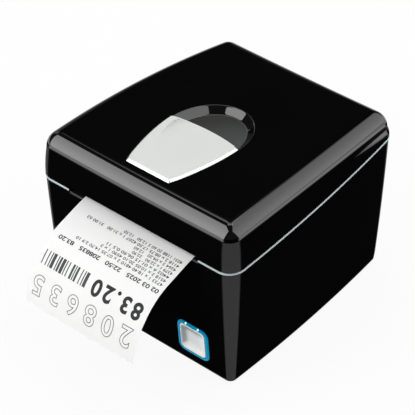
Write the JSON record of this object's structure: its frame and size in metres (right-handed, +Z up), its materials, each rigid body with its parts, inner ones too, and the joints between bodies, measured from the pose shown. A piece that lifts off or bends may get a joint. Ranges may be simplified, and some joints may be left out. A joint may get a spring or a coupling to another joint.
{
  "type": "receipt printer",
  "caption": "Desktop thermal receipt printer: tapered case, hinged lift-up cover with finger well and opening lever, feed button, and a receipt curling from the front slot.",
  "frame": {"origin": "middle of the case's footprint on the surface that the rubber feet stand on", "axes": "+Z up; -Y is the front, where the receipt comes out; +X is the side with the feed button"},
  "size_m": [0.1428, 0.2058, 0.112],
  "materials": {
    "shell_black": "high gloss",
    "frame_black": "fine satin moulding",
    "trim_silver": "satin silver paint",
    "lever_silver": "satin silver paint",
    "button_silver": "silver gloss",
    "bezel_blue": "translucent blue gloss",
    "rubber_black": "matt rubber",
    "steel": "brushed",
    "zinc_sheet": "zinc plated sheet",
    "blade_steel": "ground",
    "alloy": "as cast",
    "brass": "turned",
    "gear_white": "moulded acetal",
    "board_green": "solder mask",
    "ceramic": "glazed ceramic strip",
    "paper_white": "coated thermal paper",
    "core_board": "kraft board",
    "port_black": "black moulding",
    "motor_grey": "plated can"
  },
  "bodies": {
    "root": {"base_shell": "shell_black", "bottom_plate": "frame_black", "rubber_feet": "rubber_black", "base_screws": "steel", "chassis": "frame_black", "seam_trim": "trim_silver", "tear_bar": "port_black", "button_bezel": "bezel_blue", "button_board": "board_green", "main_board": "board_green", "usb_port": "zinc_sheet", "serial_port": "zinc_sheet", "drawer_port": "port_black", "power_inlet": "port_black", "head_springs": "steel", "head_pivot": "steel", "feed_motor": "motor_grey", "idler_stud": "steel", "cutter_frame": "zinc_sheet", "cutter_motor": "motor_grey", "latch_keepers": "zinc_sheet", "hinge_pins": "steel", "paper_web": "paper_white", "receipt": "paper_white", "paper_sensor": "port_black", "cover_switch": "port_black"},
    "cover": {"cover_shell": "shell_black", "cover_frame": "frame_black", "cover_screws": "steel", "fixed_blade": "blade_steel", "platen_bushings": "brass", "lever_pin": "steel", "latch_spring": "steel"},
    "lever": {"open_lever": "lever_silver"},
    "latch": {"latch_hooks": "zinc_sheet"},
    "platen": {"platen_shaft": "steel", "platen_rubber": "rubber_black", "platen_gear": "gear_white"},
    "feed_rotor": {"motor_pinion": "brass"},
    "idler": {"idler_gear": "gear_white"},
    "roll": {"paper_roll": "paper_white", "roll_core": "core_board"},
    "blade": {"cutter_blade": "blade_steel"},
    "cutter_rotor": {"cutter_pinion": "brass"},
    "head": {"print_head": "ceramic", "head_heatsink": "alloy"},
    "button": {"feed_button": "button_silver"}
  },
  "joints": [
    {"name": "cover_hinge", "type": "hinge", "parent": "root", "child": "cover", "pos_m": [0, 0.0788, 0.091], "axis": [-1, 0, 0], "range_deg": [0, 100]},
    {"name": "lever_lift", "type": "hinge", "parent": "cover", "child": "lever", "pos_m": [0, -0.06, 0.105], "axis": [1, 0, 0], "range_deg": [0, 8], "stiffness_Nm_per_rad": 0.15, "springref_deg": -22.92},
    {"name": "latch_turn", "type": "hinge", "parent": "cover", "child": "latch", "pos_m": [0, -0.057, 0.0975], "axis": [1, 0, 0], "range_deg": [-13, 0], "deforming": ["latch_spring"]},
    {"name": "roll_spin", "type": "hinge", "parent": "root", "child": "roll", "pos_m": [0, 0.024, 0.0515], "axis": [1, 0, 0], "continuous": true},
    {"name": "platen_spin", "type": "hinge", "parent": "cover", "child": "platen", "pos_m": [0, -0.046, 0.0915], "axis": [1, 0, 0], "continuous": true},
    {"name": "idler_spin", "type": "hinge", "parent": "root", "child": "idler", "pos_m": [0, -0.046, 0.0675], "axis": [1, 0, 0], "continuous": true},
    {"name": "motor_spin", "type": "hinge", "parent": "root", "child": "feed_rotor", "pos_m": [0, -0.046, 0.0467], "axis": [1, 0, 0], "continuous": true},
    {"name": "head_tilt", "type": "hinge", "parent": "root", "child": "head", "pos_m": [0, -0.04, 0.0655], "axis": [1, 0, 0], "range_deg": [0, 1.5], "stiffness_Nm_per_rad": 0.2, "springref_deg": -17.19, "deforming": ["head_springs"]},
    {"name": "blade_slide", "type": "slide", "parent": "root", "child": "blade", "axis": [0, 0, 1], "range_m": [0, 0.0079]},
    {"name": "cutter_drive", "type": "hinge", "parent": "root", "child": "cutter_rotor", "pos_m": [0.012, 0, 0.0615], "axis": [0, 1, 0], "range_deg": [0, 95]},
    {"name": "button_press", "type": "slide", "parent": "root", "child": "button", "axis": [0, 0.9972, 0.075], "range_m": [0, 0.0009], "stiffness_N_per_m": 150, "springref_m": -0.001}
  ],
  "couplings": [
    {"joint": "latch_turn", "follows": "lever_lift", "ratio": -1.5},
    {"joint": "platen_spin", "follows": "roll_spin", "ratio": -6.5517},
    {"joint": "motor_spin", "follows": "roll_spin", "ratio": -10.92},
    {"joint": "idler_spin", "follows": "roll_spin", "ratio": 3.2759},
    {"joint": "cutter_drive", "follows": "blade_slide", "rad_per_m": 208.33}
  ]
}
